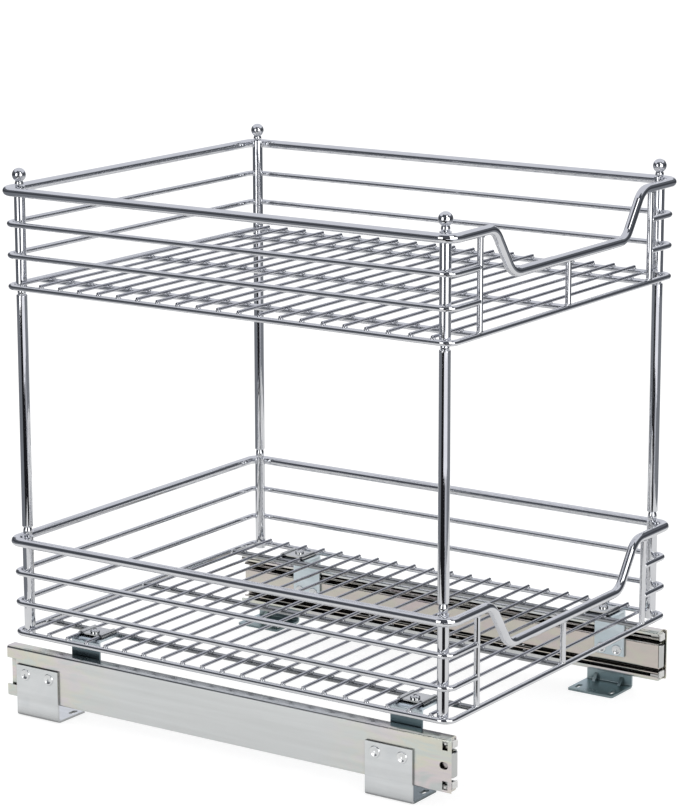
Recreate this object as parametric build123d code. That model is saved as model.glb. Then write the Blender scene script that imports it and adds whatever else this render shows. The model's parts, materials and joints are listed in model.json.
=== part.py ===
"""Two-tier wire pull-out organizer on a pair of three-member ball slides, in millimetres.

The feet stand on z = 0, the whole organizer is centred on x = y = 0, and the basket pulls out to -Y.
The left side is at -X. Pieces of the right side are mirror images of the left ones.
"""
from build123d import *
import os
from math import sqrt

# Slides
slide_length = 457.0
slide_height = 45.7
slide_thickness = 12.7
slide_span = 362.2            # over the outer faces of the two outer rails
slide_underside = 15.3        # outer rail above the surface
travel = 450.0                # of the basket, from closed to fully out
outer_gauge = 1.5
inner_gauge = 1.2             # of the middle and the inner rails
rail_bend = 0.7               # inside radius of the rails' rolled corners
outer_lip = 3.75              # from the top of the rail to the edge of its lip
inner_lip = 1.9
moving_setback = 2.0          # front ends of the moving rails behind the outer rail's web
middle_rear_setback = 3.0
inner_rear_setback = 4.5
lip_setback = 2.5             # the outer rail's flanges stop short of its web
notch_depth = 10.0            # in the rear end of the outer rail's web
notch_height = 24.0
nose_hole_length = 8.0
nose_hole_height = 6.2
nose_hole_inset = 6.5
window_length = 5.0           # lanced windows that hold the stop blocks
window_height = 7.2
window_inset = 5.4
window_offset = 16.5          # from the slide's middle height

# Balls and their cages
ball_radius = 2.0
ball_clearance = 0.1          # from ball to race, and from ball to the edge of its hole
cage_gauge = 0.6
cage_clearance = 0.4          # between a cage's web and the webs beside it
cage_end_margin = 21.0        # of a cage inside its two rails when the slide is fully out
cage_leg_margin = 1.4         # from the edge of a ball hole to the edge of the leg
outer_ball_setback = 6.2      # ball centres from the outer rail's web face
inner_ball_setback = 8.0
balls_per_row = 8
ball_end_margin = 11.0

# Stop blocks in the front corners of the outer rails
stop_length = 7.5
stop_inset = 3.0
stop_clearance = 0.3
stop_prong_width = 1.6
stop_prong_height = 1.6
stop_prong_reach = 1.1

# Feet under the outer rails
foot_gauge = 2.0
foot_width = 45.5
foot_height = 46.2
foot_depth = 38.0
foot_bend = 1.2               # inside radius
foot_corner = 2.0
front_foot_inset = 35.0       # from the front end of the slide
rear_foot_inset = 11.9
foot_slot_length = 10.0
foot_slot_width = 4.5
foot_slot_spacing = 34.0
foot_slot_edge = 10.5         # slot middle from the foot's free edge
gusset_leg = 6.5
gusset_width = 3.0
foot_rivet_spacing = 26.0
foot_rivet_head_radius = 5.0
foot_rivet_head_height = 1.0
foot_rivet_dimple_radius = 3.5
foot_rivet_dimple_depth = 0.7
foot_rivet_shank_radius = 2.5

# Supports that carry the basket on the inner rails
support_gauge = 2.0
support_width = 30.0
support_wire_gap = 0.5        # from the flange's inner edge to the cross wire beside it
support_bend = 1.2
support_plate_margin = 0.5    # from the rivets' heads to the plate's lower edge
support_rivet_spacing = 15.5
support_rivet_head_radius = 4.9
support_rivet_head_height = 1.0
support_rivet_dimple_radius = 3.4
support_rivet_dimple_depth = 0.7
support_rivet_shank_radius = 1.8
support_rivet_tail_radius = 2.8
support_rivet_tail_height = 0.7
spare_hole_radius = 2.2
spare_hole_inset = 9.0
spare_hole_offset = 9.0
front_support_wire_count = 2  # floor wires ahead of the front supports' middle
rear_support_wire_count = 3   # floor wires behind the rear supports' middle

# Saddle clips and their screws
clip_gauge = 1.2
clip_reach = 7.0              # outwards from the screw's axis
clip_setback = 0.4            # of the clip's inner edge from the flange's inner edge
clip_leg = 1.0
clip_clearance = 0.05
screw_inset = 11.5            # screw axis from the support's upright plate
screw_radius = 2.0
screw_head_radius = 4.25
screw_head_height = 2.7
screw_head_edge = 1.1
dome_reach_share = 0.72       # a point on the head's dome, as shares of its radius and rise
dome_rise_share = 0.74
screw_reach = 4.0             # of the tip below the support's flange
screw_clearance = 0.2
thread_clearance = 0.05
recess_width = 1.0
recess_length = 4.8
recess_depth = 1.5

# Basket
post_span_x = 345.2
slide_overlength = 32.7       # of the slides over the corner posts' spacing from front to back
basket_forward = 3.3          # middle of the basket ahead of the middle of the slides
basket_gap = 10.9             # from the slides' upper face to the underside of the basket
post_radius = 4.75
rail_radius = 4.0
wire_radius = 2.5
floor_wire_radius = 1.4
floor_wire_count = 21
floor_wire_post_gap = 0.4
floor_wire_overhang = 1.2     # past the middle of the bottom ring
floor_wire_end = 0.5          # rounding of the wire ends
wire_standoff = 3.0           # of the front and rear wires from the corner posts
rail_bend_radius = 10.5       # of the centre line round a corner post
wire_bend_radius = 9.0
side_wire_pitch = 27.0
rail_rise = 82.1              # top rail above the bottom ring
upright_spacing = 138.0
dip_drop = 39.3
dip_top_half_width = 119.5
dip_bottom_half_width = 92.0
dip_bend_radius = 18.0

# Tubes, joining studs and finials
tube_length = 204.5
tube_end_round = 1.3
bore_depth = 15.0
stud_radius = 2.5
stud_length = 12.0
stud_clearance = 0.05
lower_bead_height = 8.4
bead_radius = 4.0
bead_waist = 3.1
upper_neck_height = 4.0
neck_radius = 3.7
neck_waist = 3.3
finial_neck_height = 4.4
finial_neck_radius = 3.75
finial_neck_waist = 3.1
finial_radius = 6.0

overrun = 1.0                 # of every cutting solid past the face that it opens

# Places worked out from the sizes above
post_x = post_span_x / 2
post_y = (slide_length - slide_overlength) / 2
rail_x = post_x + post_radius + rail_radius
rail_y = post_y + post_radius + wire_standoff + rail_radius
ring_x = post_x + post_radius + wire_radius
ring_y = post_y + post_radius + wire_standoff + wire_radius

front_overhang = basket_forward + rail_y + rail_radius - slide_length / 2
slide_centre = front_overhang / 2
slide_front = slide_centre - slide_length / 2
slide_rear = slide_centre + slide_length / 2
slide_middle = slide_underside + slide_height / 2
slide_top = slide_underside + slide_height
web_face = -slide_span / 2
mouth_face = web_face + slide_thickness

race_gap = 2 * (ball_radius + ball_clearance)
outer_half = slide_height / 2
middle_half = outer_half - outer_gauge - race_gap
inner_half = middle_half - inner_gauge - race_gap
cage_room = cage_gauge + 2 * cage_clearance
outer_cage_face = web_face + outer_gauge + cage_clearance
middle_web_face = web_face + outer_gauge + cage_room
middle_mouth_face = mouth_face - outer_gauge / 2
inner_cage_face = middle_web_face + inner_gauge + cage_clearance
inner_mouth_face = middle_web_face + inner_gauge + cage_room
outer_row = outer_half - outer_gauge - race_gap / 2
inner_row = middle_half - inner_gauge - race_gap / 2
moving_front = slide_front + moving_setback
middle_rear = slide_rear - middle_rear_setback
inner_rear = slide_rear - inner_rear_setback
outer_cage_middle = (slide_front + middle_rear) / 2
inner_cage_middle = (moving_front + inner_rear) / 2
cage_length = slide_length - travel / 2 - 2 * cage_end_margin

front_foot_middle = slide_front + front_foot_inset + foot_width / 2
rear_foot_middle = slide_rear - rear_foot_inset - foot_width / 2
foot_face = web_face - foot_gauge

basket_middle = slide_centre - basket_forward
lower_ring = slide_top + basket_gap + wire_radius
post_top_rise = rail_rise + rail_radius
tray_rise = post_top_rise + lower_bead_height + tube_length + upper_neck_height + wire_radius
upper_ring = lower_ring + tray_rise
floor_wire_y = post_y - post_radius - floor_wire_radius - floor_wire_post_gap
floor_pitch = 2 * floor_wire_y / (floor_wire_count - 1)
floor_rise = wire_radius + floor_wire_radius

support_top = lower_ring + wire_radius
support_face = mouth_face
support_depth = -support_face - upright_spacing - wire_radius - support_wire_gap
support_plate_length = support_top - (slide_middle - support_rivet_head_radius - support_plate_margin)
front_support_y = basket_middle - floor_wire_y + (front_support_wire_count - 1 / 2) * floor_pitch
rear_support_y = basket_middle + floor_wire_y - (rear_support_wire_count - 1 / 2) * floor_pitch
screw_x = support_face + support_gauge + screw_inset
clip_base = lower_ring + floor_rise

corners = {"front_left": (-1, -1), "front_right": (1, -1), "rear_left": (-1, 1), "rear_right": (1, 1)}


def mirrored(shape):
    """The same piece for the right side."""
    return mirror(shape, about=Plane.YZ)


def section_plane(y):
    """A plane across the slides: its x is the frame's x, its y is the frame's z, and it faces the front."""
    return Plane(origin=(0, y, 0), x_dir=(1, 0, 0), z_dir=(0, -1, 0))


def block(x, y, z):
    """A box between two values along each axis."""
    spans = [(min(pair), max(pair)) for pair in (x, y, z)]
    sizes = [high - low for low, high in spans]
    middles = [(low + high) / 2 for low, high in spans]
    return Pos(*middles) * Box(*sizes)


def rod_z(x, y, bottom, top, radius):
    """An upright cylinder."""
    return Pos(x, y, (bottom + top) / 2) * Cylinder(radius, top - bottom)


def rod_x(x_low, x_high, y, z, radius):
    """A cylinder along x."""
    return Pos((x_low + x_high) / 2, y, z) * Rot(0, 90, 0) * Cylinder(radius, x_high - x_low)


def rod_y(x, y_low, y_high, z, radius):
    """A cylinder along y."""
    return Pos(x, (y_low + y_high) / 2, z) * Rot(90, 0, 0) * Cylinder(radius, y_high - y_low)


def swept_wire(path, radius):
    """A round wire along a path."""
    section = Plane(origin=path @ 0, z_dir=path % 0) * Circle(radius)
    return sweep(section, path=path)


def turned(outline):
    """A solid of revolution about z from an outline in x and z."""
    face = Plane.XZ * make_face(outline)
    return revolve(face, axis=Axis.Z)


def channel(web, mouth, half_height, gauge, lip):
    """Section of a rolled channel, about the slide's middle height."""
    width = abs(mouth - web)
    middle = (web + mouth) / 2
    outside = Pos(middle, 0) * RectangleRounded(width, 2 * half_height, rail_bend + gauge)
    inside = Pos(middle, 0) * RectangleRounded(width - 2 * gauge, 2 * (half_height - gauge), rail_bend)
    opening = Pos(mouth, 0) * Rectangle(3 * gauge, 2 * (half_height - lip))
    return Pos(0, slide_middle) * (outside - inside - opening)


def rail_solid(section, front, rear):
    """A rail of constant section between two places along y."""
    return extrude(section_plane(rear) * section, amount=rear - front)


def foot_rivet_places():
    """Middles of the rivets that hold the left feet, as y."""
    return [
        middle + side * foot_rivet_spacing / 2
        for middle in (front_foot_middle, rear_foot_middle)
        for side in (-1, 1)
    ]


def outer_rail():
    """Fixed channel of the left slide, open towards the middle of the organizer."""
    rail = rail_solid(channel(web_face, mouth_face, outer_half, outer_gauge, outer_lip), slide_front, slide_rear)
    web = (web_face - overrun, web_face + outer_gauge + overrun)
    heights = (slide_middle - notch_height / 2, slide_middle + notch_height / 2)
    rail -= block(web, (slide_rear - notch_depth, slide_rear + overrun), heights)
    flanges = (web_face + outer_gauge, mouth_face + overrun)
    whole_height = (slide_underside - overrun, slide_top + overrun)
    rail -= block(flanges, (slide_front - overrun, slide_front + lip_setback), whole_height)
    nose = Plane(
        origin=(web[0], slide_front + nose_hole_inset, slide_middle), x_dir=(0, 1, 0), z_dir=(1, 0, 0)
    )
    rail -= extrude(nose * SlotOverall(nose_hole_length, nose_hole_height), amount=web[1] - web[0])
    for side in (-1, 1):
        middle = slide_middle + side * window_offset
        window_y = slide_front + window_inset
        rail -= block(
            web,
            (window_y - window_length / 2, window_y + window_length / 2),
            (middle - window_height / 2, middle + window_height / 2),
        )
    for y in foot_rivet_places():
        rail -= rod_x(*web, y, slide_middle, foot_rivet_shank_radius + stud_clearance)
    return rail


def middle_rail():
    """Middle channel of the left slide, nested in the outer one."""
    section = channel(middle_web_face, middle_mouth_face, middle_half, inner_gauge, inner_lip)
    return rail_solid(section, moving_front, middle_rear)


def support_rivet_places():
    """Middles of the rivets that hold the left supports, as y."""
    return [
        middle + side * support_rivet_spacing / 2
        for middle in (front_support_y, rear_support_y)
        for side in (-1, 1)
    ]


def inner_rail():
    """Innermost channel of the left slide, with its web towards the middle of the organizer."""
    section = channel(mouth_face, inner_mouth_face, inner_half, inner_gauge, inner_lip)
    rail = rail_solid(section, moving_front, inner_rear)
    for y in support_rivet_places():
        web = (mouth_face - inner_gauge - overrun, mouth_face + overrun)
        rail -= rod_x(*web, y, slide_middle, support_rivet_shank_radius + stud_clearance)
    return rail


def ball_places(cage_middle):
    """Ball centres along a cage, as y."""
    run = cage_length - 2 * ball_end_margin
    return [cage_middle - run / 2 + run * n / (balls_per_row - 1) for n in range(balls_per_row)]


def cage(face, cage_middle, ball_x, row):
    """U-shaped retainer: a web between two rails and a leg with ball holes in each raceway."""
    front = cage_middle - cage_length / 2
    rear = cage_middle + cage_length / 2
    leg_edge = ball_x + ball_radius + ball_clearance + cage_leg_margin
    web_top = row + cage_gauge / 2
    web = block(
        (face, face + cage_gauge), (front, rear), (slide_middle - web_top, slide_middle + web_top)
    )
    solid = web
    for side in (-1, 1):
        level = slide_middle + side * row
        solid += block((face, leg_edge), (front, rear), (level - cage_gauge / 2, level + cage_gauge / 2))
    for y in ball_places(cage_middle):
        for side in (-1, 1):
            level = slide_middle + side * row
            solid -= rod_z(
                ball_x, y, level - cage_gauge, level + cage_gauge, ball_radius + ball_clearance
            )
    return solid


def ball_set(cage_middle, ball_x, row):
    """The balls of one cage, in an upper and a lower row."""
    balls = [
        Pos(ball_x, y, slide_middle + side * row) * Sphere(ball_radius)
        for side in (-1, 1)
        for y in ball_places(cage_middle)
    ]
    return Compound(children=balls)


def stop_blocks():
    """Blocks in the two front corners of the left outer rail, each with a prong in its window."""
    front = slide_front + stop_inset
    prong_middle = slide_front + window_inset
    blocks = []
    for side in (-1, 1):
        near = slide_middle + side * (middle_half + stop_clearance)
        far = slide_middle + side * (outer_half - outer_gauge)
        web_side = web_face + outer_gauge + rail_bend
        lip_side = mouth_face - outer_gauge - rail_bend
        body = block((web_side, lip_side), (front, front + stop_length), (near, far))
        prong = block(
            (web_face + outer_gauge - stop_prong_reach, web_side),
            (prong_middle - stop_prong_width / 2, prong_middle + stop_prong_width / 2),
            (near, near + side * stop_prong_height),
        )
        blocks.append(body + prong)
    return Compound(children=blocks)


def angle_section(x, z, plate, flange, gauge, bend, rise):
    """Section of a bent angle: an upright plate from the corner (x, z) and a flange towards +x."""
    outline = Polyline(
        (x, z),
        (x + flange, z),
        (x + flange, z + rise * gauge),
        (x + gauge, z + rise * gauge),
        (x + gauge, z + rise * plate),
        (x, z + rise * plate),
        close=True,
    )
    face = make_face(outline)
    outer_corner = face.vertices().sort_by_distance((x, z))[0]
    face = fillet(outer_corner, bend + gauge)
    inner_corner = face.vertices().sort_by_distance((x + gauge, z + rise * gauge))[0]
    return fillet(inner_corner, bend)


def gusset(y):
    """Pressed rib across the bend of a foot."""
    x = foot_face + foot_gauge
    outline = Polyline(
        (x, foot_gauge), (x + gusset_leg, foot_gauge), (x, foot_gauge + gusset_leg), close=True
    )
    return extrude(section_plane(y + gusset_width / 2) * make_face(outline), amount=gusset_width)


def foot(middle):
    """Left foot: a plate on the outer rail's outer face, and a slotted foot turned in below the slide."""
    section = angle_section(foot_face, 0, foot_height, foot_depth, foot_gauge, foot_bend, 1)
    solid = extrude(section_plane(middle + foot_width / 2) * section, amount=foot_width)
    free_edges = solid.edges().filter_by(Axis.Z).group_by(Axis.X)[-1]
    solid = fillet(free_edges, foot_corner)
    for side in (-1, 1):
        solid += gusset(middle + side * foot_rivet_spacing / 2)
    slot_x = foot_face + foot_depth - foot_slot_edge
    for side in (-1, 1):
        slot = SlotOverall(foot_slot_length, foot_slot_width)
        slot_y = middle + side * foot_slot_spacing / 2
        solid -= Pos(slot_x, slot_y, -overrun) * extrude(slot, amount=foot_gauge + 2 * overrun)
        rivet_y = middle + side * foot_rivet_spacing / 2
        solid -= rod_x(
            foot_face - overrun,
            web_face + overrun,
            rivet_y,
            slide_middle,
            foot_rivet_shank_radius + stud_clearance,
        )
    return solid


def rivet(head_radius, head_height, dimple_radius, dimple_depth, shank_radius, grip, tail=None):
    """A rivet with its seat on z = 0, its cupped head above it and its shank below."""
    edge = head_radius - head_height / 2
    outline = Polyline(
        (0, -grip),
        (shank_radius, -grip),
        (shank_radius, 0),
        (head_radius, 0),
        (edge, head_height),
        (0, head_height),
        close=True,
    )
    cup_radius = (dimple_radius**2 + dimple_depth**2) / (2 * dimple_depth)
    solid = turned(outline) - Pos(0, 0, head_height - dimple_depth + cup_radius) * Sphere(cup_radius)
    if tail:
        tail_radius, tail_height = tail
        solid += rod_z(0, 0, -grip - tail_height, -grip, tail_radius)
    return solid


def foot_rivets():
    """Rivets through the left feet and the outer rail's web, flush inside the rail."""
    blank = rivet(
        foot_rivet_head_radius,
        foot_rivet_head_height,
        foot_rivet_dimple_radius,
        foot_rivet_dimple_depth,
        foot_rivet_shank_radius,
        foot_gauge + outer_gauge,
    )
    seats = [Plane(origin=(foot_face, y, slide_middle), z_dir=(-1, 0, 0)) for y in foot_rivet_places()]
    return Compound(children=[seat * blank for seat in seats])


def support_rivets():
    """Rivets through the left supports and the inner rail's web, upset inside the rail."""
    blank = rivet(
        support_rivet_head_radius,
        support_rivet_head_height,
        support_rivet_dimple_radius,
        support_rivet_dimple_depth,
        support_rivet_shank_radius,
        support_gauge + inner_gauge,
        (support_rivet_tail_radius, support_rivet_tail_height),
    )
    face = support_face + support_gauge
    seats = [Plane(origin=(face, y, slide_middle), z_dir=(1, 0, 0)) for y in support_rivet_places()]
    return Compound(children=[seat * blank for seat in seats])


def support(middle):
    """Left support: a plate on the inner rail and a flange under the basket's floor."""
    section = angle_section(
        support_face, support_top, support_plate_length, support_depth, support_gauge, support_bend, -1
    )
    solid = extrude(section_plane(middle + support_width / 2) * section, amount=support_width)
    flange = (support_top - support_gauge - overrun, support_top + overrun)
    solid -= rod_z(screw_x, middle, *flange, screw_radius + thread_clearance)
    spare_x = support_face + support_gauge + spare_hole_inset
    solid -= rod_z(spare_x, middle - spare_hole_offset, *flange, spare_hole_radius)
    plate = (support_face - overrun, support_face + support_gauge + overrun)
    for side in (-1, 1):
        y = middle + side * support_rivet_spacing / 2
        solid -= rod_x(*plate, y, slide_middle, support_rivet_shank_radius + stud_clearance)
    return solid


def saddle_clip(middle):
    """Spring steel clip over two neighbouring floor wires, held down by a screw between them."""
    inside = floor_wire_radius + clip_clearance
    outside = inside + clip_gauge
    reach = floor_pitch / 2
    profile = Pos(0, clip_gauge / 2) * Rectangle(2 * (reach - inside), clip_gauge)
    for side in (-1, 1):
        arch = Pos(side * reach, 0) * Circle(outside)
        arch -= Pos(side * reach, -outside) * Rectangle(2 * outside, 2 * outside)
        leg = Pos(side * (reach + inside + clip_gauge / 2), -clip_leg / 2) * Rectangle(clip_gauge, clip_leg)
        profile += arch + leg
    for side in (-1, 1):
        profile -= Pos(side * reach, 0) * Circle(inside)
    outer_edge = screw_x - clip_reach
    inner_edge = support_face + support_depth - clip_setback
    across = Plane(origin=(outer_edge, middle, clip_base), x_dir=(0, 1, 0), z_dir=(1, 0, 0))
    solid = extrude(across * profile, amount=inner_edge - outer_edge)
    top = clip_base + clip_gauge + overrun
    return solid - rod_z(screw_x, middle, clip_base - overrun, top, screw_radius + screw_clearance)


def clip_screw(middle):
    """Pan-head screw with a cross recess, through the clip into the support's flange."""
    seat = clip_base + clip_gauge
    screw_dome = screw_head_height - screw_head_edge
    head = turned(
        [
            Line((0, 0), (screw_head_radius, 0)),
            Line((screw_head_radius, 0), (screw_head_radius, screw_head_edge)),
            ThreePointArc(
                (screw_head_radius, screw_head_edge),
                (screw_head_radius * dome_reach_share, screw_head_edge + screw_dome * dome_rise_share),
                (0, screw_head_height),
            ),
            Line((0, screw_head_height), (0, 0)),
        ]
    )
    for turn in (0, 90):
        slot = Box(recess_length, recess_width, 2 * recess_depth)
        head -= Pos(0, 0, screw_head_height) * Rot(0, 0, turn) * slot
    shank = rod_z(0, 0, support_top - support_gauge - screw_reach - seat, 0, screw_radius)
    return Pos(screw_x, middle, seat) * (head + shank)


def closed_ring(height):
    """Bottom ring of a tray, round the outside of the corner posts."""
    places = [(ring_x, -ring_y), (ring_x, ring_y), (-ring_x, ring_y), (-ring_x, -ring_y)]
    points = [(x, basket_middle + y, height) for x, y in places]
    path = FilletPolyline(*points, radius=wire_bend_radius, close=True)
    return swept_wire(path, wire_radius)


def side_wire(height):
    """Wire round the back and sides of a tray, ending at the outer uprights of its front."""
    end = upright_spacing + wire_radius
    places = [(-end, -ring_y), (-ring_x, -ring_y), (-ring_x, ring_y)]
    places += [(-x, y) for x, y in reversed(places)]
    points = [(x, basket_middle + y, height) for x, y in places]
    path = FilletPolyline(*points, radius=wire_bend_radius)
    return swept_wire(path, wire_radius)


def top_rail(height):
    """Heavy top rail of a tray, with a dip in its front for the hand."""
    low = height - dip_drop
    places = [
        (rail_x, rail_y, height, rail_bend_radius),
        (-rail_x, rail_y, height, rail_bend_radius),
        (-rail_x, -rail_y, height, rail_bend_radius),
        (-dip_top_half_width, -rail_y, height, dip_bend_radius),
        (-dip_bottom_half_width, -rail_y, low, dip_bend_radius),
        (dip_bottom_half_width, -rail_y, low, dip_bend_radius),
        (dip_top_half_width, -rail_y, height, dip_bend_radius),
        (rail_x, -rail_y, height, rail_bend_radius),
    ]
    points = [(x, basket_middle + y, z) for x, y, z, bend in places]
    bends = [bend for x, y, z, bend in places]
    path = FilletPolyline(*points, radius=bends, close=True)
    return swept_wire(path, rail_radius)


def floor_wires(ring):
    """Thin wires across the floor of a tray, on its bottom ring and cross wires."""
    half = ring_x + floor_wire_overhang
    wires = []
    for n in range(floor_wire_count):
        y = basket_middle - floor_wire_y + n * floor_pitch
        wire = rod_x(-half, half, y, ring + floor_rise, floor_wire_radius)
        wires.append(fillet(wire.edges().filter_by(GeomType.CIRCLE), floor_wire_end))
    return Compound(children=wires)


def cross_wires(ring):
    """Three wires from front to back inside the bottom ring, under the floor wires."""
    reach = ring_y - wire_radius
    front = basket_middle - reach
    rear = basket_middle + reach
    return Compound(
        children=[rod_y(side * upright_spacing, front, rear, ring, wire_radius) for side in (-1, 0, 1)]
    )


def uprights(ring):
    """Three upright wires in the front of a tray, between its bottom ring and its top rail."""
    y = basket_middle - ring_y
    foot_level = ring + wire_radius
    under_rail = ring + rail_rise - rail_radius
    wires = []
    for side in (-1, 0, 1):
        top = under_rail if side else under_rail - dip_drop
        wires.append(rod_z(side * upright_spacing, y, foot_level, top, wire_radius))
    return Compound(children=wires)


def bored(solid, x, y, level, inward, depth):
    """The solid with a hole for a joining stud, from a level upwards (1) or downwards (-1)."""
    ends = (level - inward * overrun, level + inward * depth)
    return solid - rod_z(x, y, min(ends), max(ends), stud_radius + stud_clearance)


def corner_post(ring, sides, bored_below):
    """Corner post of a tray, from the underside of its bottom ring to the top of its rail."""
    x = sides[0] * post_x
    y = basket_middle + sides[1] * post_y
    bottom = ring - wire_radius
    top = ring + post_top_rise
    post = bored(rod_z(x, y, bottom, top, post_radius), x, y, top, -1, bore_depth)
    if bored_below:
        post = bored(post, x, y, bottom, 1, bore_depth)
    return post


def long_tube(sides):
    """Thick-walled upright tube between the two trays."""
    x = sides[0] * post_x
    y = basket_middle + sides[1] * post_y
    bottom = lower_ring + post_top_rise + lower_bead_height
    top = bottom + tube_length
    tube = rod_z(x, y, bottom, top, post_radius)
    tube = fillet(tube.edges().filter_by(GeomType.CIRCLE), tube_end_round)
    return bored(tube, x, y, bottom, 1, tube_length + overrun)


def bead(height, radius, waist):
    """A turned collar on z = 0 with a bulging side."""
    return turned(
        [
            Line((0, 0), (waist, 0)),
            ThreePointArc((waist, 0), (radius, height / 2), (waist, height)),
            Line((waist, height), (0, height)),
            Line((0, height), (0, 0)),
        ]
    )


def at_corners(piece, height):
    """Copies of a piece on the four corner posts' axes."""
    places = [Pos(sx * post_x, basket_middle + sy * post_y, height) for sx, sy in corners.values()]
    return Compound(children=[place * piece for place in places])


def joining_studs(height, radius, waist, level):
    """Double-ended studs with a collar between a post and a tube."""
    stud = bead(height, radius, waist) + rod_z(0, 0, -stud_length, height + stud_length, stud_radius)
    return at_corners(stud, level)


def finials():
    """Ball finials with a necked collar and a stud, on top of the upper posts."""
    ball_rise = finial_neck_height + sqrt(finial_radius**2 - finial_neck_waist**2)
    finial = bead(finial_neck_height, finial_neck_radius, finial_neck_waist)
    finial += Pos(0, 0, ball_rise) * Sphere(finial_radius)
    finial += rod_z(0, 0, -stud_length, 0, stud_radius)
    return at_corners(finial, upper_ring + post_top_rise)


def slide_parts():
    """The left slide with its feet and supports, and the same for the right."""
    left = {
        "outer_rail": outer_rail(),
        "middle_rail": middle_rail(),
        "inner_rail": inner_rail(),
        "outer_cage": cage(outer_cage_face, outer_cage_middle, web_face + outer_ball_setback, outer_row),
        "outer_balls": ball_set(outer_cage_middle, web_face + outer_ball_setback, outer_row),
        "inner_cage": cage(inner_cage_face, inner_cage_middle, web_face + inner_ball_setback, inner_row),
        "inner_balls": ball_set(inner_cage_middle, web_face + inner_ball_setback, inner_row),
        "stop_blocks": stop_blocks(),
        "front_foot": foot(front_foot_middle),
        "rear_foot": foot(rear_foot_middle),
        "foot_rivets": foot_rivets(),
        "front_support": support(front_support_y),
        "rear_support": support(rear_support_y),
        "support_rivets": support_rivets(),
    }
    parts = {}
    for name, shape in left.items():
        parts["left_" + name] = shape
        parts["right_" + name] = mirrored(shape)
    return parts


def clip_parts():
    """The four saddle clips and their screws."""
    clips = []
    screws = []
    for middle in (front_support_y, rear_support_y):
        clip = saddle_clip(middle)
        screw = clip_screw(middle)
        clips += [clip, mirrored(clip)]
        screws += [screw, mirrored(screw)]
    return {"saddle_clips": Compound(children=clips), "clip_screws": Compound(children=screws)}


def tray_parts(tray, ring, bored_below):
    """One wire tray above a given height of its bottom ring."""
    parts = {
        "bottom_ring": closed_ring(ring),
        "lower_side_wire": side_wire(ring + side_wire_pitch),
        "upper_side_wire": side_wire(ring + 2 * side_wire_pitch),
        "top_rail": top_rail(ring + rail_rise),
        "floor_wires": floor_wires(ring),
        "cross_wires": cross_wires(ring),
        "uprights": uprights(ring),
    }
    for corner, sides in corners.items():
        parts[corner + "_post"] = corner_post(ring, sides, bored_below)
    return {tray + "_tray_" + name: shape for name, shape in parts.items()}


def all_parts():
    """Every piece by its name."""
    parts = slide_parts()
    parts.update(clip_parts())
    parts.update(tray_parts("lower", lower_ring, False))
    parts.update(tray_parts("upper", upper_ring, True))
    for corner, sides in corners.items():
        parts[corner + "_tube"] = long_tube(sides)
    lower_joint = lower_ring + post_top_rise
    upper_joint = lower_joint + lower_bead_height + tube_length
    parts["lower_joining_studs"] = joining_studs(lower_bead_height, bead_radius, bead_waist, lower_joint)
    parts["upper_joining_studs"] = joining_studs(upper_neck_height, neck_radius, neck_waist, upper_joint)
    parts["finials"] = finials()
    return parts


os.makedirs("parts", exist_ok=True)
for name, shape in all_parts().items():
    export_step(shape, os.path.join("parts", name + ".step"))
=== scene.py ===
import json
import math

import bmesh
import bpy
from mathutils import Matrix, Vector, noise


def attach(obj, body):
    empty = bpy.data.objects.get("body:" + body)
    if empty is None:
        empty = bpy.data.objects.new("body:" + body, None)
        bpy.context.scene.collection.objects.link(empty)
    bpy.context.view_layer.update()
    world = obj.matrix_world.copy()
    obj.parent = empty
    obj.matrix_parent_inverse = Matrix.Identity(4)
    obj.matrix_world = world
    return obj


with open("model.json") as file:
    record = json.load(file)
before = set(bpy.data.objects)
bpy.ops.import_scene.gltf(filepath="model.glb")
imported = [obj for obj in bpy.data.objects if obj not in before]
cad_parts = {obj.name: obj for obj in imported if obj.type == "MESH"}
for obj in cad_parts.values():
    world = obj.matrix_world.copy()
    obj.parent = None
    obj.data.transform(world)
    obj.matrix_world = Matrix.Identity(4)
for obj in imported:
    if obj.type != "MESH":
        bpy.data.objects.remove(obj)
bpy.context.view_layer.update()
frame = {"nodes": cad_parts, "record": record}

# Camera
camera_azimuth = math.radians(-55.9)
camera_elevation = math.radians(12.61)
camera_roll = math.radians(-0.1)
camera_distance = 2.632
camera_target = Vector((0.0015, 0.0023, 0.27135))
camera_lens = 135.57
camera_sensor = 36.0
camera_clip_end = 50.0


def direction(azimuth, elevation):
    """A unit vector from the middle of the scene; azimuth 0 is towards the organizer's front."""
    level = math.cos(elevation)
    return Vector((math.sin(azimuth) * level, -math.cos(azimuth) * level, math.sin(elevation)))


def add_object(name, data):
    made = bpy.data.objects.new(name, data)
    bpy.context.scene.collection.objects.link(made)
    return made


def make_camera():
    back = direction(camera_azimuth, camera_elevation)
    level_right = Vector((math.cos(camera_azimuth), math.sin(camera_azimuth), 0.0))
    level_up = back.cross(level_right)
    right = level_right * math.cos(camera_roll) + level_up * math.sin(camera_roll)
    up = back.cross(right)
    data = bpy.data.cameras.new("camera")
    data.lens = camera_lens
    data.sensor_width = camera_sensor
    data.clip_end = camera_clip_end
    camera = add_object("camera", data)
    turn = Matrix((right, up, back)).transposed().to_4x4()
    camera.matrix_world = Matrix.Translation(camera_target + back * camera_distance) @ turn
    bpy.context.scene.camera = camera


# Materials
occlusion_samples = 8
occlusion_range = (0.25, 0.85)   # openness that gives the darkest and the full colour


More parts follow.
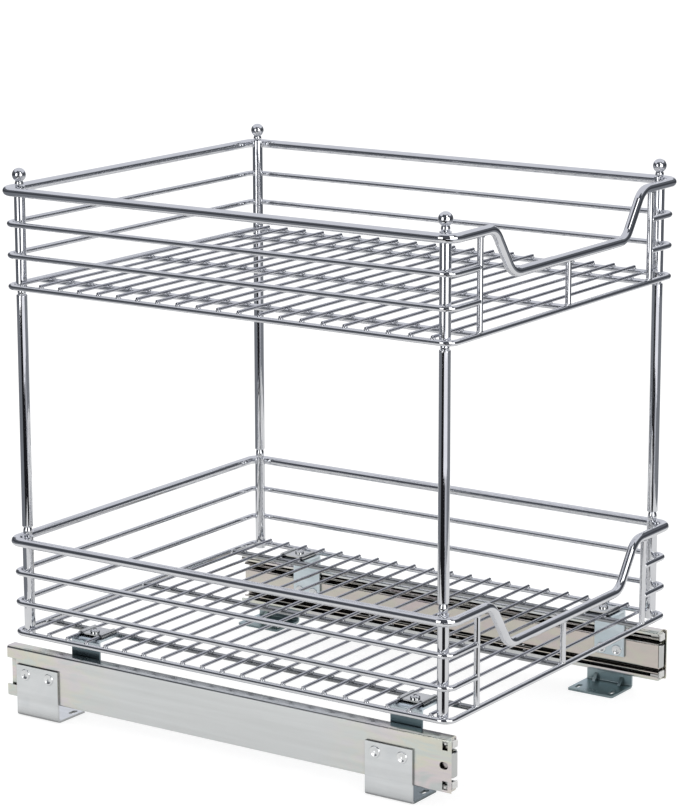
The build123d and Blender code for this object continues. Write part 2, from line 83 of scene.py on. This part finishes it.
class Tree:
    """Short names for building a material's nodes."""

    def __init__(self, name, metallic):
        self.material = bpy.data.materials.new(name)
        self.material.use_nodes = True
        self.nodes = self.material.node_tree.nodes
        self.links = self.material.node_tree.links
        self.shader = self.nodes["Principled BSDF"]
        self.shader.inputs["Metallic"].default_value = metallic
        self.place = self.nodes.new("ShaderNodeTexCoord").outputs["Object"]

    def feed(self, name, output):
        self.links.new(output, self.shader.inputs[name])

    def stretched(self, scale):
        node = self.nodes.new("ShaderNodeMapping")
        node.inputs["Scale"].default_value = scale
        self.links.new(self.place, node.inputs["Vector"])
        return node.outputs["Vector"]

    def noise(self, scale, detail=2.0, roughness=0.5, stretch=None, warp=0.0):
        node = self.nodes.new("ShaderNodeTexNoise")
        node.inputs["Scale"].default_value = scale
        node.inputs["Detail"].default_value = detail
        node.inputs["Roughness"].default_value = roughness
        node.inputs["Distortion"].default_value = warp
        self.links.new(self.stretched(stretch) if stretch else self.place, node.inputs["Vector"])
        return node.outputs["Fac"]

    def spread(self, value, low, high, in_low=0.3, in_high=0.7):
        """The value, with its range from in_low to in_high spread from low to high."""
        node = self.nodes.new("ShaderNodeMapRange")
        self.links.new(value, node.inputs["Value"])
        node.inputs["From Min"].default_value = in_low
        node.inputs["From Max"].default_value = in_high
        node.inputs["To Min"].default_value = low
        node.inputs["To Max"].default_value = high
        return node.outputs["Result"]

    def along(self, axis, start, end):
        """A share that goes from 0 to 1 between two distances from the origin along an axis."""
        node = self.nodes.new("ShaderNodeSeparateXYZ")
        self.links.new(self.place, node.inputs[0])
        size = self.nodes.new("ShaderNodeMath")
        size.operation = "ABSOLUTE"
        self.links.new(node.outputs[axis], size.inputs[0])
        return self.spread(size.outputs[0], 0.0, 1.0, start, end)

    def ramp(self, value, stops):
        node = self.nodes.new("ShaderNodeValToRGB")
        elements = node.color_ramp.elements
        while len(elements) < len(stops):
            elements.new(0.5)
        for element, (position, colour) in zip(elements, stops):
            element.position = position
            element.color = (*colour, 1.0)
        self.links.new(value, node.inputs["Fac"])
        return node.outputs["Color"]

    def mix(self, share, first, second):
        """A blend of two colours, each of them a tuple or an output."""
        node = self.nodes.new("ShaderNodeMix")
        node.data_type = "RGBA"
        self.links.new(share, node.inputs[0])
        for socket, colour in ((node.inputs[6], first), (node.inputs[7], second)):
            if isinstance(colour, tuple):
                socket.default_value = (*colour, 1.0)
            else:
                self.links.new(colour, socket)
        return node.outputs[2]

    def shaded(self, colour, darkest, reach):
        """The colour with painted shade: darker where other metal is close in front of it."""
        node = self.nodes.new("ShaderNodeAmbientOcclusion")
        node.samples = occlusion_samples
        node.inputs["Distance"].default_value = reach
        dark = self.nodes.new("ShaderNodeVectorMath")
        dark.operation = "SCALE"
        self.links.new(colour, dark.inputs[0])
        share = self.spread(node.outputs["AO"], darkest, 1.0, *occlusion_range)
        self.links.new(share, dark.inputs["Scale"])
        return dark.outputs["Vector"]

    def bump(self, height, strength, distance):
        node = self.nodes.new("ShaderNodeBump")
        node.inputs["Strength"].default_value = strength
        node.inputs["Distance"].default_value = distance
        self.links.new(height, node.inputs["Height"])
        self.feed("Normal", node.outputs["Normal"])


def dimmed(colour, share):
    return tuple(channel * share for channel in colour)


haze_scale = 60.0
haze_colour_share = 0.94
haze_dullness = 0.035
peel_scale = 140.0
peel_strength = 0.04
peel_height = 0.0004


def chrome(name, colour, dull):
    """Bright plating with a slight orange peel, and a faint haze where it was handled."""
    tree = Tree(name, metallic=1.0)
    haze = tree.noise(haze_scale, detail=4.0)
    hazy = dimmed(colour, haze_colour_share)
    tree.feed("Base Color", tree.mix(tree.spread(haze, 0.0, 1.0), colour, hazy))
    tree.feed("Roughness", tree.spread(haze, dull, dull + haze_dullness))
    tree.bump(tree.noise(peel_scale, detail=1.0), peel_strength, peel_height)
    return tree.material


line_scale = 22.0
line_stretch = (9.0, 0.3, 9.0)
line_strength = 0.10
line_height = 0.00005
streak_colour = (0.52, 0.53, 0.52)
streak_share = 0.22
even = (1.0, 1.0, 1.0)


def zinc(name, stops, patch, dull, stretch=even, darkest=0.35, shade_reach=0.012, tint_fade_and_painted_dark=None):
    """Satin zinc plate: soft patches of tint, faint rolling lines, and painted shade in its
    crevices.

    patch is the scale of the patches, and dull the least and the greatest roughness.
    tint_fade_and_painted_dark is an axis, two distances along it and the colour that the tint fades
    to between them: a plain colour on the rails, painted shade on the supports' lower plate and a
    painted dark reflection on the near foot's flange.
    """
    tree = Tree(name, metallic=1.0)
    tint = tree.noise(patch, detail=3.0, roughness=0.55, stretch=stretch, warp=0.6)
    lines = tree.noise(line_scale, detail=3.0, roughness=0.55, stretch=line_stretch)
    tinted = tree.ramp(tint, stops)
    # the fade to a given colour, which on the supports is painted shade and on the near foot a
    # painted dark reflection
    if tint_fade_and_painted_dark:
        tinted = tree.mix(tree.along(*tint_fade_and_painted_dark[:3]), tinted, tint_fade_and_painted_dark[3])
    streaked = tree.mix(tree.spread(lines, 0.0, streak_share), tinted, streak_colour)
    # painted shade where other metal is close in front
    tree.feed("Base Color", tree.shaded(streaked, darkest, shade_reach))
    tree.feed("Roughness", tree.spread(tint, *dull))
    tree.bump(lines, line_strength, line_height)
    return tree.material


grain_scale = 900.0
grain_colour_share = 0.9
grain_dull = (0.4, 0.6)
grain_strength = 0.2
grain_height = 0.0001


def plastic(name, colour):
    """Matt moulded plastic with a fine grain."""
    tree = Tree(name, metallic=0.0)
    grain = tree.noise(grain_scale, detail=2.0)
    tree.feed("Base Color", tree.mix(grain, colour, dimmed(colour, grain_colour_share)))
    tree.feed("Roughness", tree.spread(grain, *grain_dull))
    tree.bump(grain, grain_strength, grain_height)
    return tree.material


# Colours of the plating, from the least to the greatest value of its patches
rail_stops = [
    (0.30, (0.70, 0.73, 0.72)),
    (0.40, (0.85, 0.77, 0.78)),
    (0.50, (0.84, 0.82, 0.70)),
    (0.58, (0.76, 0.82, 0.77)),
    (0.70, (0.87, 0.78, 0.74)),
]
far_rail_stops = [
    (0.30, (0.70, 0.68, 0.61)),
    (0.42, (0.76, 0.68, 0.63)),
    (0.52, (0.75, 0.72, 0.62)),
    (0.66, (0.77, 0.67, 0.66)),
]
foot_stops = [(0.3, (0.78, 0.81, 0.83)), (0.5, (0.87, 0.89, 0.90)), (0.7, (0.81, 0.85, 0.85))]
# The far feet: the same plate as the near feet, made darker as painted shade
far_foot_shaded_stops = [(0.3, (0.24, 0.34, 0.37)), (0.5, (0.36, 0.48, 0.51)), (0.7, (0.50, 0.61, 0.64))]
support_stops = [(0.3, (0.62, 0.75, 0.82)), (0.5, (0.82, 0.92, 0.97)), (0.7, (0.72, 0.83, 0.88))]
rivet_stops = [(0.3, (0.88, 0.90, 0.91)), (0.7, (0.95, 0.96, 0.96))]
cage_stops = [(0.3, (0.30, 0.30, 0.29)), (0.7, (0.42, 0.41, 0.39))]

# Where the tint fades, and the colour that it fades to: a plain colour on the rails, a painted dark
# reflection on the near foot's flange, and painted shade on the supports' plate below their flange
rail_plain = ("Y", 0.20, 0.10, (0.80, 0.82, 0.82))
# painted dark reflection on the near foot's flange, inward of its outer plate
foot_painted_reflection = ("X", 0.1815, 0.179, (0.30, 0.36, 0.38))
# painted shade on the supports' plate below their flange
support_painted_shade = ("Z", 0.0735, 0.0700, (0.12, 0.19, 0.22))

rail_dull = (0.13, 0.21)
foot_dull = (0.14, 0.24)
support_dull = (0.24, 0.36)
rivet_dull = (0.16, 0.28)
cage_dull = (0.30, 0.50)
rail_shade = {"darkest": 0.06, "shade_reach": 0.009}

finishes = {
    "chrome_wire": chrome("bright_chrome", (0.79, 0.80, 0.825), dull=0.03),
    "rail_zinc": zinc(
        "rail_zinc_plate",
        rail_stops,
        patch=34.0,
        dull=rail_dull,
        stretch=(1.0, 0.6, 1.8),
        tint_fade_and_painted_dark=rail_plain,
        **rail_shade,
    ),
    "foot_zinc": zinc("foot_zinc_plate", foot_stops, patch=26.0, dull=foot_dull),
    "support_zinc": zinc("support_zinc_plate", support_stops, patch=26.0, dull=support_dull),
    "rivet_zinc": zinc("rivet_zinc_plate", rivet_stops, patch=60.0, dull=rivet_dull),
    "clip_steel": chrome("clip_nickel", (0.66, 0.67, 0.66), dull=0.10),
    "screw_zinc": chrome("screw_plate", (0.76, 0.77, 0.78), dull=0.08),
    "cage_steel": zinc("cage_spring_steel", cage_stops, patch=60.0, dull=cage_dull),
    "ball_steel": chrome("ball_steel", (0.55, 0.55, 0.57), dull=0.05),
    "stop_plastic": plastic("stop_plastic", (0.97, 0.97, 0.95)),
}

far_rail = zinc(
    "far_rail_zinc_plate",
    far_rail_stops,
    patch=30.0,
    dull=rail_dull,
    stretch=(1.0, 0.5, 1.0),
    **rail_shade,
)
# support plate with painted shade below its flange
near_support = zinc(
    "shaded_support_plate", support_stops, patch=26.0, dull=support_dull, tint_fade_and_painted_dark=support_painted_shade
)
# near front foot, with a painted dark reflection on its flange
near_foot = zinc("near_foot_zinc_plate", foot_stops, patch=26.0, dull=foot_dull, tint_fade_and_painted_dark=foot_painted_reflection)
# far feet: a darker copy of the foot plating, painted shade
far_foot = zinc("far_foot_shaded_zinc_plate", far_foot_shaded_stops, patch=20.0, dull=support_dull)
# cross wires: the wire chrome made darker as painted shade under the floor wires
cross_wire = chrome("cross_wire_shaded_chrome", (0.38, 0.39, 0.40), dull=0.06)
# floor wires: the wire chrome made darker as painted shade
floor_wire = chrome("floor_wire_shaded_chrome", (0.52, 0.53, 0.57), dull=0.05)

# Nodes that look different from the rest of their slot: the far rails by their tint, the others by
# painted shade, and the near front foot also by a painted dark reflection
own_finishes = {
    "left_front_foot": near_foot,
    "left_front_support": near_support,
    "left_rear_support": near_support,
    "lower_tray_cross_wires": cross_wire,
    "lower_tray_floor_wires": floor_wire,
    "right_front_foot": far_foot,
    "right_inner_rail": far_rail,
    "right_middle_rail": far_rail,
    "right_rear_foot": far_foot,
    "upper_tray_floor_wires": floor_wire,
}

for subpart in frame["record"]["subparts"]:
    finish = own_finishes.get(subpart["node"], finishes[subpart["material_slot"]])
    for slot in frame["nodes"][subpart["node"]].material_slots:
        slot.material = finish


# Welds, placed by the sizes of the basket
wire_radius = 0.0025
rail_radius = 0.004
post_radius = 0.00475
basket_middle = -0.00195
post_x = 0.1726
post_y = 0.21215
ring_x = 0.17985
ring_y = 0.2224
rail_rise = 0.0821
dip_drop = 0.0393
upright_spacing = 0.138
side_wire_pitch = 0.027
floor_wire_y = 0.2056
floor_wire_count = 21
tray_levels = {"lower": 0.0744, "upper": 0.3799}

# Half widths of the lumps along x, y and z
cross_lump = (0.0019, 0.0021, 0.0009)
wire_end_lump = (0.0022, 0.0024, 0.0012)
upright_foot_lump = (0.0037, 0.0026, 0.0016)
cross_end_lump = (0.0034, 0.0020, 0.0026)
upright_top_lump = (0.0036, 0.0026, 0.0014)
upright_side_lump = (0.0016, 0.0029, 0.0029)
post_wire_lump = (0.0016, 0.0036, 0.0027)
post_rail_lump = (0.0018, 0.0042, 0.0040)

# Steps of the lumps off their seams
wire_end_inset = 0.0003
wire_end_rise = 0.0001
upright_foot_rise = 0.0004
upright_top_drop = 0.0002
upright_top_reach = 0.0006
post_reach = 0.0006

ripple_scale = 1.7
ripple_step = 3.1
ripple_share = 0.16


class Nuggets:
    """Many small lumps of weld metal as one mesh."""

    def __init__(self):
        self.mesh = bmesh.new()
        self.count = 0

    def lump(self, middle, size):
        """A rounded lump with an uneven skin; size is half its width along each axis."""
        made = bmesh.ops.create_icosphere(self.mesh, subdivisions=2, radius=1.0)["verts"]
        self.count += 1
        shift = Vector((self.count * ripple_step, 0.0, 0.0))
        for vertex in made:
            reach = 1.0 + ripple_share * noise.noise(vertex.co * ripple_scale + shift)
            skin = [vertex.co[axis] * size[axis] * reach for axis in range(3)]
            vertex.co = Vector(middle) + Vector(skin)

    def finish(self, name):
        data = bpy.data.meshes.new(name)
        self.mesh.to_mesh(data)
        self.mesh.free()
        data.materials.append(finishes["chrome_wire"])
        for face in data.polygons:
            face.use_smooth = True
        made = add_object(name, data)
        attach(made, "basket")


def tray_welds(tray, ring):
    """Lumps where the wires of one tray cross and where they meet its corner posts."""
    nuggets = Nuggets()
    pitch = 2 * floor_wire_y / (floor_wire_count - 1)
    seam = ring + wire_radius
    for n in range(floor_wire_count):
        y = basket_middle - floor_wire_y + n * pitch
        for x in (-upright_spacing, 0.0, upright_spacing):
            nuggets.lump((x, y, seam), cross_lump)
        for side in (-1, 1):
            nuggets.lump((side * (ring_x - wire_end_inset), y, seam + wire_end_rise), wire_end_lump)
    front = basket_middle - ring_y
    for side in (-1, 0, 1):
        x = side * upright_spacing
        nuggets.lump((x, front, seam + upright_foot_rise), upright_foot_lump)
        nuggets.lump((x, front + wire_radius, ring), cross_end_lump)
        nuggets.lump((x, basket_middle + ring_y - wire_radius, ring), cross_end_lump)
        top = ring + rail_rise - rail_radius - (0.0 if side else dip_drop)
        nuggets.lump((x, front - upright_top_reach, top - upright_top_drop), upright_top_lump)
    for side in (-1, 1):
        x = side * upright_spacing + side * wire_radius
        for n in (1, 2):
            nuggets.lump((x, front, ring + n * side_wire_pitch), upright_side_lump)
    for side in (-1, 1):
        for end in (-1, 1):
            x = side * (post_x + post_radius)
            y = basket_middle + end * post_y + end * post_reach
            for n in (0, 1, 2):
                nuggets.lump((x, y, ring + n * side_wire_pitch), post_wire_lump)
            nuggets.lump((x, y, ring + rail_rise), post_rail_lump)
    nuggets.finish(tray + "_tray_welds")


for tray, ring in tray_levels.items():
    tray_welds(tray, ring)


# Mouldings on the front ends of the moving rails
slide_middle = 0.03815
rail_front = -0.22515
moulding_near_x = 0.1698      # towards the middle of the organizer
cap_far_x = 0.1778
cap_depth = 0.0018
cap_ends = (0.0142, 0.0200)   # from the middle of the slide's height
bumper_x = 0.1733
bumper_half_width = 0.0042
bumper_half_height = 0.0103
bumper_bulge = 0.0024
bow_steps = 12
plug_far_x = 0.1752
plug_depth = 0.006
bevel_width = 0.0004
sharp_angle = 0.6


def moulding(name, body, outline, low, high, slot):
    """A softly bevelled upright prism; outline is its plan, as x and y."""
    mesh = bmesh.new()
    bottom = [mesh.verts.new((x, y, low)) for x, y in outline]
    top = [mesh.verts.new((x, y, high)) for x, y in outline]
    mesh.faces.new(bottom[::-1])
    mesh.faces.new(top)
    for n, vertex in enumerate(bottom):
        after = (n + 1) % len(bottom)
        mesh.faces.new((vertex, bottom[after], top[after], top[n]))
    bmesh.ops.recalc_face_normals(mesh, faces=mesh.faces)
    edges = [edge for edge in mesh.edges if edge.calc_face_angle() > sharp_angle]
    bmesh.ops.bevel(mesh, geom=edges, offset=bevel_width, segments=3, affect="EDGES", profile=0.5)
    data = bpy.data.meshes.new(name)
    mesh.to_mesh(data)
    mesh.free()
    data.materials.append(finishes[slot])
    made = add_object(name, data)
    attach(made, body)


def rail_caps(side, word):
    """Two caps on the middle rail's front corners and a bowed bumper in the inner rail's mouth."""
    cap_front = rail_front - cap_depth
    cap = [(moulding_near_x, cap_front), (cap_far_x, cap_front)]
    cap += [(cap_far_x, rail_front), (moulding_near_x, rail_front)]
    plan = [(side * x, y) for x, y in cap]
    for rise, place in ((1, "upper"), (-1, "lower")):
        ends = sorted(slide_middle + rise * reach for reach in cap_ends)
        moulding(word + "_middle_" + place + "_cap", word + "_middle", plan, *ends, "stop_plastic")
    bumper = []
    for n in range(bow_steps + 1):
        turn = math.radians(180.0 + 180.0 / bow_steps * n)
        x = bumper_x + bumper_half_width * math.cos(turn)
        bumper.append((x, rail_front + bumper_bulge * math.sin(turn)))
    plug_rear = rail_front + plug_depth
    bumper += [(plug_far_x, rail_front), (plug_far_x, plug_rear)]
    bumper += [(moulding_near_x, plug_rear), (moulding_near_x, rail_front)]
    plan = [(side * x, y) for x, y in bumper]
    ends = (slide_middle - bumper_half_height, slide_middle + bumper_half_height)
    moulding(word + "_inner_bumper", "basket", plan, *ends, "clip_steel")


rail_caps(-1, "left")
rail_caps(1, "right")


# Studio
def emission(name, colour, strength=1.0):
    material = bpy.data.materials.new(name)
    material.use_nodes = True
    nodes = material.node_tree.nodes
    nodes.clear()
    light = nodes.new("ShaderNodeEmission")
    light.inputs["Color"].default_value = (*colour, 1.0)
    light.inputs["Strength"].default_value = strength
    output = nodes.new("ShaderNodeOutputMaterial")
    material.node_tree.links.new(light.outputs["Emission"], output.inputs["Surface"])
    return material


def sheet(name, vertices, faces, material):
    data = bpy.data.meshes.new(name)
    data.from_pydata(vertices, [], faces)
    data.materials.append(material)
    data.update()
    return add_object(name, data)


def reflected_only(made):
    """Studio gear that shows only in the reflections on the metal."""
    made.visible_camera = False
    made.visible_diffuse = False
    made.visible_shadow = False
    made.visible_transmission = False


sheet_steps = 24
wall_radius = 2.2
cloth_radius = 2.15           # in front of the wall
lamp_radius = 2.1             # in front of the wall and the cloths
lamp_strength = 2.4
mat_height = 0.001
glow_height = 0.002
mat_end = 2.3


def part_way(span, step):
    """The place in a span that a number of its sheet_steps reaches."""
    return span[0] + (span[1] - span[0]) * step / sheet_steps


def flag(name, azimuths, elevations, colour, radius, strength=1.0, droop=0.0):
    """A cloth or a lamp's face as a piece of a sphere.

    Azimuths count from the camera's, in degrees, positive towards the camera's right. The upper
    edge droops by a share of the azimuth to either side.
    """
    vertices = []
    for i in range(sheet_steps + 1):
        turn = part_way(azimuths, i)
        azimuth = camera_azimuth + math.radians(turn)
        span = (elevations[0], elevations[1] - droop * abs(turn))
        for j in range(sheet_steps + 1):
            vertices.append(direction(azimuth, math.radians(part_way(span, j))) * radius)
    row = sheet_steps + 1
    faces = []
    for i in range(sheet_steps):
        for j in range(sheet_steps):
            corner = i * row + j
            faces.append((corner, corner + 1, corner + row + 1, corner + row))
    reflected_only(sheet(name, vertices, faces, emission(name, colour, strength)))


def mat(name, azimuths, reaches, colour, height=mat_height, middle=(0.0, 0.0)):
    """A cloth or a patch of light on the floor between two distances from a middle."""
    vertices = []
    for i in range(sheet_steps + 1):
        azimuth = camera_azimuth + math.radians(part_way(azimuths, i))
        for reach in reaches:
            vertices.append(direction(azimuth, 0.0) * reach + Vector((*middle, height)))
    faces = [(2 * i, 2 * i + 1, 2 * i + 3, 2 * i + 2) for i in range(sheet_steps)]
    reflected_only(sheet(name, vertices, faces, emission(name, colour)))


floor_reach = 12.0
floor_grey = 0.42
floor_glow_seen = 0.72        # whitens the floor for the camera
floor_glow_mirrored = 0.38    # and in the reflections


def make_floor():
    material = bpy.data.materials.new("floor_paper")
    material.use_nodes = True
    nodes = material.node_tree.nodes
    links = material.node_tree.links
    shader = nodes["Principled BSDF"]
    shader.inputs["Base Color"].default_value = (floor_grey, floor_grey, floor_grey, 1.0)
    shader.inputs["Roughness"].default_value = 0.9
    shader.inputs["Specular IOR Level"].default_value = 0.0
    shader.inputs["Emission Color"].default_value = (1.0, 1.0, 1.0, 1.0)
    path = nodes.new("ShaderNodeLightPath")
    seen = nodes.new("ShaderNodeMath")
    seen.operation = "MULTIPLY"
    seen.inputs[1].default_value = floor_glow_seen
    links.new(path.outputs["Is Camera Ray"], seen.inputs[0])
    both = nodes.new("ShaderNodeMath")
    both.operation = "MULTIPLY_ADD"
    both.inputs[1].default_value = floor_glow_mirrored
    links.new(path.outputs["Is Glossy Ray"], both.inputs[0])
    links.new(seen.outputs[0], both.inputs[2])
    links.new(both.outputs[0], shader.inputs["Emission Strength"])
    signs = ((-1, -1), (1, -1), (1, 1), (-1, 1))
    corners = [(x * floor_reach, y * floor_reach, 0) for x, y in signs]
    floor = sheet("floor", corners, [(0, 1, 2, 3)], material)


def make_world():
    """White for the camera and as a light, pale lavender in the reflections."""
    world = bpy.data.worlds.new("studio")
    world.use_nodes = True
    nodes = world.node_tree.nodes
    links = world.node_tree.links
    white = nodes["Background"]
    white.inputs["Color"].default_value = (1.0, 1.0, 1.0, 1.0)
    white.inputs["Strength"].default_value = 1.0
    pale = nodes.new("ShaderNodeBackground")
    pale.inputs["Color"].default_value = (0.70, 0.71, 0.765, 1.0)
    path = nodes.new("ShaderNodeLightPath")
    either = nodes.new("ShaderNodeMixShader")
    links.new(path.outputs["Is Glossy Ray"], either.inputs[0])
    links.new(white.outputs[0], either.inputs[1])
    links.new(pale.outputs[0], either.inputs[2])
    links.new(either.outputs[0], nodes["World Output"].inputs["Surface"])
    bpy.context.scene.world = world


make_camera()
make_floor()
make_world()

wall_grey = (0.12, 0.128, 0.145)
core_grey = (0.06, 0.064, 0.074)
wing_grey = (0.07, 0.075, 0.09)
left_mat_grey = (0.19, 0.20, 0.22)
right_mat_grey = (0.21, 0.22, 0.24)
pale_grey = (0.50, 0.51, 0.55)
soft_black = (0.012, 0.012, 0.014)
lamp_white = (1.0, 1.0, 1.0)
glow_white = (0.95, 0.95, 1.0)
near_post = (-post_x, basket_middle - post_y)

flag("dark_wall", (-150, 150), (0.0, 54.0), wall_grey, wall_radius, droop=0.14)
flag("dark_core", (-150, 150), (6.0, 36.0), core_grey, cloth_radius, droop=0.12)
flag("left_softbox", (-56, -30), (0.0, 36.0), lamp_white, lamp_radius, lamp_strength)
flag("right_softbox", (12, 52), (0.0, 34.0), lamp_white, lamp_radius, lamp_strength)
flag("high_softbox", (12, 36), (40.0, 58.0), lamp_white, lamp_radius, lamp_strength)
flag("dark_wing", (-62, 60), (40.0, 69.0), wing_grey, cloth_radius)
mat("side_mat_left", (-140, -50), (0.6, mat_end), left_mat_grey)
mat("side_mat_right", (42, 140), (0.95, mat_end), right_mat_grey)
mat("black_mat", (-50, 15), (0.8, mat_end), soft_black)
mat("pale_mat", (15, 42), (0.8, 1.35), pale_grey)
mat("black_strip", (-22, 36), (0.24, 0.8), soft_black, middle=near_post)
mat("window_glow", (-9, 50), (1.35, mat_end), glow_white, height=glow_height)

bpy.context.scene.view_settings.view_transform = "Standard"
